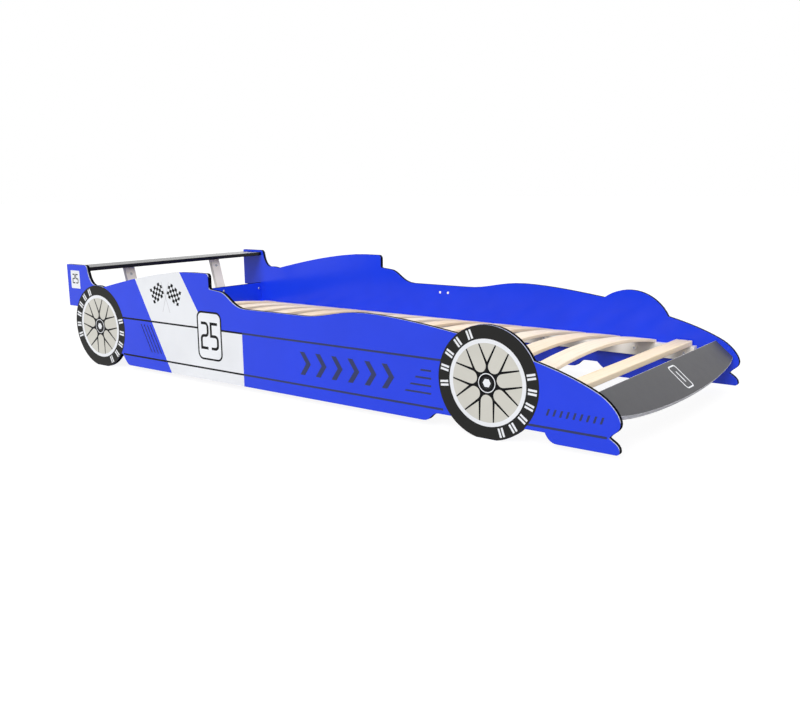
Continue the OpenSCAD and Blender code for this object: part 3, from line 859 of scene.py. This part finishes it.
class CARBED_OT_stripe(bpy.types.Operator):
    """Print the white stripe on both sides"""
    bl_idname = "car_bed.stripe"
    bl_label = "White stripe"

    def execute(self, context):
        sizes, shades = chosen(context)
        white = printed("stripe_print", shades.stripe)
        lean, front_lean = sizes.stripe_lean, sizes.stripe_front_lean
        line = sizes.upper_line
        rear_cut = ((sizes.stripe_rear, line), (-math.cos(lean), -math.sin(lean)))
        front_cut = ((sizes.stripe_front, line), (math.cos(front_lean), math.sin(front_lean)))
        end_cut = ((sizes.stripe_end, line), (1.0, 0.0))
        halves = {
            "upper": (((0.0, line), (0.0, -1.0)), rear_cut, front_cut),
            "lower": (((0.0, line), (0.0, 1.0)), rear_cut, end_cut)}
        for side in SIDES:
            for half, cuts in halves.items():
                patch = stripe_patch(side, cuts, 1)
                add_piece("stripe_%s_%s" % (half, side), patch, white)
        return {"FINISHED"}


class CARBED_OT_lines(bpy.types.Operator):
    """Print the two long lines on both sides"""
    bl_idname = "car_bed.lines"
    bl_label = "Long lines"

    def execute(self, context):
        sizes, shades = chosen(context)
        ink = printed("line_print", shades.ink, gloss=0.12)
        soft = printed("soft_line_print", shades.soft_ink, gloss=0.2)
        # Ends of the lines lie under the tyres, and the last one ends at the nose's notch
        hidden = sizes.tyre_r * 0.9
        rear, front = sizes.rear_wheel_s + hidden, sizes.front_wheel_s - hidden
        past_wheel, notch = sizes.front_wheel_s + hidden * 0.85, 2286 * MM
        middle, upper, lower = sizes.stripe_end, sizes.upper_line, sizes.lower_line
        runs = (
            ("rear", ink, [(rear, middle, upper), (rear, middle, lower)]),
            ("front", soft, [
                (middle, front, upper), (middle, front, lower), (past_wheel, notch, lower)]))
        for end, material, places in runs:
            shapes = [stroke([(low, z), (high, z)], sizes.line_width) for low, high, z in places]
            for side in SIDES:
                add_print("long_lines_" + end, side, shapes, 2, material)
        return {"FINISHED"}


class CARBED_OT_plates(bpy.types.Operator):
    """Print the number plates with their plain number"""
    bl_idname = "car_bed.plates"
    bl_label = "Number plates"

    def execute(self, context):
        sizes, shades = chosen(context)
        ground = printed("plate_ground", [min(1.0, value) for value in dimmed(shades.stripe, 1.04)])
        ink = printed("plate_ink", shades.ink, gloss=0.12)
        middle = (sizes.plate_s, sizes.plate_z)
        outline = box_outline(middle, sizes.plate_w, sizes.plate_h, 22 * MM)
        border = stroke(outline, 6.4 * MM, True)
        tail_s, tail_z = 52.25 * MM, 326.25 * MM
        tail = box_outline((tail_s, tail_z), 58.5 * MM, 69.5 * MM, 2 * MM)
        for side in SIDES:
            plate_number = number_shapes(
                side, middle, sizes.digit_w, sizes.digit_h, radius=13 * MM, gap=16.5 * MM,
                line=sizes.digit_stroke)
            tail_number = number_shapes(
                side, (tail_s, tail_z + 3 * MM), 14 * MM, 33 * MM, radius=5 * MM, gap=7 * MM,
                line=4.4 * MM)
            add_print("plate_ground", side, [[outline]], 3, ground)
            add_print("plate_number", side, [border] + plate_number, 4, ink)
            add_print("tail_plate", side, [[tail]], 3, ground)
            add_print("tail_number", side, tail_number, 4, ink)
        return {"FINISHED"}


class CARBED_OT_flags(bpy.types.Operator):
    """Print the two crossed chequered flags"""
    bl_idname = "car_bed.flags"
    bl_label = "Chequered flags"

    def execute(self, context):
        shades = context.scene.car_bed_shades
        ink = printed("flag_ink", dimmed(shades.ink, 0.6), gloss=0.12)
        grey = printed("pole_print", shades.pole)
        middle_s = 605.2 * MM
        foot, head, foot_z, head_z = 20 * MM, -21 * MM, 239 * MM, 348 * MM
        cells = flag_cells(1, middle_s) + flag_cells(-1, middle_s)
        poles = [
            stroke([(middle_s + way * foot, foot_z), (middle_s + way * head, head_z)], 2.2 * MM)
            for way in (1, -1)]
        for side in SIDES:
            add_print("flag_poles", side, poles, 2, grey)
            add_print("flag_squares", side, cells, 3, ink)
        return {"FINISHED"}


class CARBED_OT_wheels(bpy.types.Operator):
    """Print the wheels: tyre, rim, disc, forked spokes and hub"""
    bl_idname = "car_bed.wheels"
    bl_label = "Printed wheels"

    def execute(self, context):
        sizes, shades = chosen(context)
        tyre = printed("tyre_print", shades.tyre, 0.42, 0.12)
        rim = printed("rim_print", shades.stripe)
        disc = printed("disc_print", shades.disc)
        ink = printed("spoke_print", dimmed(shades.ink, 0.9), gloss=0.12)
        dim = printed("hub_ring_print", shades.tyre)
        centres = [(s, sizes.wheel_z) for s in (sizes.front_wheel_s, sizes.rear_wheel_s)]
        floor_gap = 0.4 * MM

        def discs(radius, steps=96, hole=None):
            """A disc on each wheel, cut off just above the floor, with a hole where one is given."""
            rounds = [radius] if hole is None else [radius, hole]
            return [
                [[(s, max(z, floor_gap)) for s, z in arc(centre, edge, 0, 360, steps)[:-1]]
                 for edge in rounds]
                for centre in centres]

        around = ring_repeat()
        spoke = [[spoke_outline(sizes.hub_r, sizes.spokes)]]
        for side in SIDES:
            add_print("tyres", side, discs(sizes.tyre_r, 128), 3, tyre)
            add_print("rims", side, discs(sizes.rim_r), 4, rim)
            add_print("discs", side, discs(sizes.disc_r), 5, disc)
            spokes = [
                around.run(
                    side_plates(side, spoke, 6, 0.0), count=sizes.spokes, first_angle=0.0,
                    step=2 * math.pi / sizes.spokes, centre=(REAR_X + s, 0.0, z), material=ink)
                for s, z in centres]
            add_piece("spokes_" + side, joined(spokes), ink)
            add_print("hub_rings", side, discs(sizes.hub_r + 2.5 * MM), 7, rim)
            add_print("hubs", side, discs(sizes.hub_r), 8, ink)
            groove = discs(16.6 * MM, steps=48, hole=14.4 * MM)
            nut = discs(12.6 * MM, steps=6)
            add_print("hub_grooves", side, groove, 9, dim)
            add_print("hub_nuts", side, nut, 9, rim)
        return {"FINISHED"}


class CARBED_OT_tyre_marks(bpy.types.Operator):
    """Print the white marks around the tyres"""
    bl_idname = "car_bed.tyre_marks"
    bl_label = "Tyre marks"

    def execute(self, context):
        sizes, shades = chosen(context)
        white = printed("mark_print", shades.stripe)
        # A mark is a pair of short bars across the band of the tyre
        inner, outer, half, gap = 124.5 * MM, 150.5 * MM, 3.1 * MM, 5.1 * MM
        mark = [
            [[(x - half, inner), (x + half, inner), (x + half, outer), (x - half, outer)]]
            for x in (-gap, gap)]
        front, rear = sizes.front_wheel_s, sizes.rear_wheel_s
        # Wheel, number of marks, angle of the first one and step to the next, in degrees
        runs = (
            (front, 5, -96.9, 18.2), (front, 6, 76.3, 16.8),
            (rear, 6, -108.3, 17.1), (rear, 5, 77.6, 18.9))
        around = ring_repeat()
        for side in SIDES:
            marks = [
                around.run(
                    side_plates(side, mark, 4, 0.0), count=count, first_angle=math.radians(first),
                    step=math.radians(step), centre=(REAR_X + s, 0.0, sizes.wheel_z), material=white)
                for s, count, first, step in runs]
            add_piece("tyre_marks_" + side, joined(marks), white)
        return {"FINISHED"}


class CARBED_OT_speed_marks(bpy.types.Operator):
    """Print the slanted lines, the speed lines and the rows of chevrons and bars"""
    bl_idname = "car_bed.speed_marks"
    bl_label = "Speed marks"

    def execute(self, context):
        sizes, shades = chosen(context)
        ink = printed("speed_print", shades.ink, gloss=0.12)
        soft = printed("chevron_print", shades.soft_ink, gloss=0.2)
        low, high = 84 * MM, 184 * MM
        slant = math.tan(sizes.stripe_lean)
        slanted = stroke([(0.0, high), ((high - low) * slant, low)], 3.4 * MM)
        speed_h, speed_l = 2.6 * MM, 94 * MM
        speed = [[(-speed_l, -speed_h), (0.0, -speed_h), (0.0, speed_h), (-speed_l * 0.93, speed_h)]]
        tall, wide, thick = 36.5 * MM, 26 * MM, 20 * MM
        chevron = [[
            (0.0, -tall), (thick, -tall), (thick + wide, 0.0), (thick, tall), (0.0, tall), (wide, 0.0)]]
        small, lean = 9 * MM, 6 * MM
        bar = [[(0.0, -small), (lean, -small), (2 * lean, small), (lean, small)]]
        # Name, shape, ink, how many, place of the first one, step to the next and growth
        rows = [
            ("slanted_lines", slanted, ink, 4, (453, 0), (18, 0), 0.0),
            ("speed_lines", speed, soft, 4, (1759, 99), (0, 21.7), -0.2),
            ("chevrons", chevron, soft, 6, (1255, 130), (65.5, 0), 0.0),
            ("nose_bars", bar, soft, 9, (2118, 101), (18.5, 0), 0.0)]
        row = row_repeat()
        for side in SIDES:
            for name, shape, material, count, first, step, growth in rows:
                copies = row.run(
                    side_plates(side, [shape], 2, 0.0), count=count,
                    first=(REAR_X + first[0] * MM, 0.0, first[1] * MM),
                    step=(step[0] * MM, 0.0, step[1] * MM), growth=growth, material=material)
                add_piece(name + "_" + side, copies, material)
        return {"FINISHED"}


class CARBED_OT_badge(bpy.types.Operator):
    """Print the white outline and bar on the nose board"""
    bl_idname = "car_bed.badge"
    bl_label = "Nose badge"

    def execute(self, context):
        white = printed("badge_print", context.scene.car_bed_shades.stripe)
        top = Vector((REAR_X + 2242 * MM, 0.0, 163 * MM))
        down = Vector((math.cos(NOSE_SLOPE), 0.0, -math.sin(NOSE_SLOPE)))
        out = Vector((math.sin(NOSE_SLOPE), 0.0, math.cos(NOSE_SLOPE)))

        def place(point, height):
            u, y = point
            return top + down * u + out * height + Vector((0.0, y, 0.0))

        middle_u, middle_y, reach = 58 * MM, 21 * MM, 20 * MM
        outline = box_outline((middle_u, middle_y), 80 * MM, 48 * MM, 9 * MM)
        shapes = [
            stroke(outline, 4.6 * MM, True),
            stroke([(middle_u - reach, middle_y), (middle_u + reach, middle_y)], 5.4 * MM)]
        badge = plate_mesh(shapes, place, -PRINT_SINK, 2 * PRINT_LAYER)
        add_piece("nose_badge", badge, white)
        return {"FINISHED"}


class CARBED_OT_studio(bpy.types.Operator):
    """Lay the floor, hang the lights and place the camera"""
    bl_idname = "car_bed.studio"
    bl_label = "Studio"

    def execute(self, context):
        scene = context.scene
        studio = scene.car_bed_studio
        scene.view_settings.view_transform = "Standard"
        lay_floor(scene, studio)
        light_studio(scene, studio)
        place_camera(scene, studio)
        return {"FINISHED"}


class CARBED_PT_panel(bpy.types.Panel):
    """Everything that makes the bed, in order"""
    bl_idname = "CARBED_PT_panel"
    bl_label = "Racing Car Bed"
    bl_space_type = "VIEW_3D"
    bl_region_type = "UI"
    bl_category = "Car Bed"

    def draw(self, context):
        for name in SETTINGS:
            settings = getattr(context.scene, name)
            box = self.layout.box()
            for prop in settings.bl_rna.properties:
                if prop.identifier not in ("rna_type", "name"):
                    box.prop(settings, prop.identifier)
        for operator in OPERATORS:
            self.layout.operator(operator.bl_idname)


# Studio and registration


def lay_floor(scene, studio):
    """Floor that is white where it is seen and unshaded, keeps the shadow, and lights as plain grey."""
    mesh = bmesh.new()
    bmesh.ops.create_grid(mesh, x_segments=1, y_segments=1, size=40.0)
    floor = bpy.data.objects.new("floor", plain_mesh(mesh, "floor"))
    finish = Finish("pale_floor", roughness=0.9, specular_ior_level=0.0)
    speck = finish.noise(25.0, 3.0)
    finish.surface(base_color=finish.mottled(speck, studio.floor, 0.99))
    share = studio.floor_shadow
    shaded = finish.node("ShaderNodeBsdfDiffuse", {}, {"Color": (share, share, share)})
    shining = finish.node("ShaderNodeEmission", {}, {"Strength": FLOOR_LIGHT - share})
    seen = finish.node("ShaderNodeAddShader", {}, {0: shaded, 1: shining})
    finish.mixed(finish.seen_directly(), finish.shown(finish.shader), seen)
    floor.data.materials.append(finish.material)
    scene.collection.objects.link(floor)


def light_studio(scene, studio):
    """Even light from around, a white background, and soft lamps at the right, front and back."""
    world = bpy.data.worlds.new("studio")
    scene.world = world
    world.use_nodes = True
    around = Nodes(world.node_tree)
    up = around.parts(around.node("ShaderNodeTexCoord", {}, {}, "Generated"))[2]
    soft = around.ramp(up, 0.0, 1.0, studio.horizon, studio.sky)
    background = around.tree.nodes["Background"]
    around.feed(background.inputs["Color"], (1.0, 1.0, 1.0))
    around.feed(background.inputs["Strength"], around.ramp(around.seen_directly(), 0.0, 1.0, soft, 1.0))
    # Name, strength, width of the light in degrees and the way to the lamp
    lamps = (
        ("sun", studio.sun, 30, (0.12, -0.81, 0.51)), ("fill", studio.fill, 50, (0.9, -0.25, 0.3)),
        ("back", studio.back, 50, (-0.4, 0.8, 0.4)))
    for name, energy, spread, way in lamps:
        data = bpy.data.lights.new(name, "SUN")
        data.energy = energy
        data.angle = math.radians(spread)
        lamp = bpy.data.objects.new(name, data)
        lamp.rotation_euler = Vector(way).to_track_quat("Z", "Y").to_euler()
        scene.collection.objects.link(lamp)


def place_camera(scene, studio):
    """Camera at the photograph's place, which was solved from the bed's straight edges."""
    camera = bpy.data.objects.new("camera", bpy.data.cameras.new("camera"))
    camera.data.lens = studio.lens
    camera.data.sensor_width = 36.0
    camera.data.sensor_fit = "HORIZONTAL"
    place = (1.981, -2.417, 0.6705)
    right = Vector((0.7937, 0.6083, -0.0108)).normalized()
    back = Vector((0.599, -0.7782, 0.189)).normalized()
    up = back.cross(right).normalized()
    turn = Matrix((right, up, back)).transposed().to_4x4()
    camera.matrix_world = Matrix.Translation(place) @ turn
    scene.collection.objects.link(camera)
    scene.camera = camera


OPERATORS = (
    CARBED_OT_boards, CARBED_OT_frame, CARBED_OT_fittings, CARBED_OT_stripe, CARBED_OT_lines,
    CARBED_OT_plates, CARBED_OT_flags, CARBED_OT_wheels, CARBED_OT_tyre_marks,
    CARBED_OT_speed_marks, CARBED_OT_badge, CARBED_OT_studio)
SETTINGS = {
    "car_bed_sizes": CarBedPrintSizes, "car_bed_shades": CarBedShades, "car_bed_studio": CarBedStudio}


def register():
    for group in SETTINGS.values():
        bpy.utils.register_class(group)
    for name, group in SETTINGS.items():
        setattr(bpy.types.Scene, name, bpy.props.PointerProperty(type=group))
    for operator in OPERATORS:
        bpy.utils.register_class(operator)
    bpy.utils.register_class(CARBED_PT_panel)


def unregister():
    bpy.utils.unregister_class(CARBED_PT_panel)
    for operator in reversed(OPERATORS):
        bpy.utils.unregister_class(operator)
    for name, group in SETTINGS.items():
        delattr(bpy.types.Scene, name)
        bpy.utils.unregister_class(group)


def corners(box):
    """A box as plain lists of numbers."""
    return [[float(value) for value in corner] for corner in box]


def main():
    register()
    for operator in OPERATORS:
        family, name = operator.bl_idname.split(".")
        getattr(getattr(bpy.ops, family), name)()


if __name__ == "__main__":
    main()
